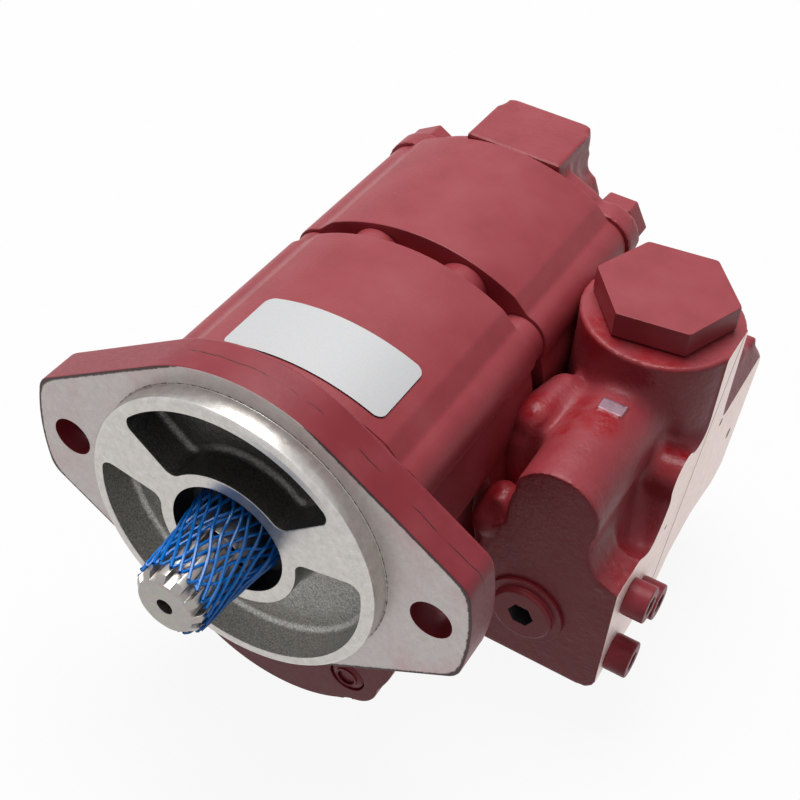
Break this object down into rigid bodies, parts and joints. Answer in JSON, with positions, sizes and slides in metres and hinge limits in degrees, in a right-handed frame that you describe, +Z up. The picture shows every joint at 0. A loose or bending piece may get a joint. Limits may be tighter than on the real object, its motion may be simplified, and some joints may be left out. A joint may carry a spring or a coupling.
{
  "type": "hydraulic gear pump",
  "caption": "Red tandem hydraulic gear pump with a splined drive shaft, a two-bolt pilot flange and a valve block with a large hex plug on its side.",
  "frame": {"origin": "centre of the pilot, on the mounting flange's front face", "axes": "+X to the right seen from the shaft end, towards the valve block; +Y back along the shaft's axis, away from the shaft's end; +Z up, from the lower gear's half of the body to the shaft"},
  "size_m": [0.1533, 0.1908, 0.1244],
  "materials": {
    "red_paint": "satin paint over rough iron castings",
    "seal_rubber": "matt black rubber",
    "dark_steel": "phosphated spring steel",
    "bronze": "machined bronze bush",
    "label_white": "white label, bare",
    "shaft_steel": "ground and machined steel",
    "blue_net": "blue plastic protective net"
  },
  "bodies": {
    "housing": {"front_cover": "red_paint", "front_gear_housing": "red_paint", "bearing_carrier": "red_paint", "rear_gear_housing": "red_paint", "rear_cover": "red_paint", "valve_body": "red_paint", "valve_rear_body": "red_paint", "hex_plug": "red_paint", "hex_plug_seal": "seal_rubber", "front_port_plug": "red_paint", "shaft_seal": "seal_rubber", "retaining_ring": "dark_steel", "shaft_bush": "bronze", "label_plate": "label_white", "tie_bolt_upper_left": "red_paint", "tie_bolt_upper_right": "red_paint", "tie_bolt_lower_left": "red_paint", "tie_bolt_lower_right": "red_paint", "valve_screw_upper": "red_paint", "valve_screw_middle": "red_paint", "valve_screw_lower": "red_paint"},
    "shaft": {"drive_shaft": "shaft_steel", "shaft_sleeve": "blue_net"}
  },
  "joints": [
    {"name": "shaft_spin", "type": "hinge", "parent": "housing", "child": "shaft", "pos_m": [0, 0, 0], "axis": [0, -1, 0], "continuous": true}
  ]
}
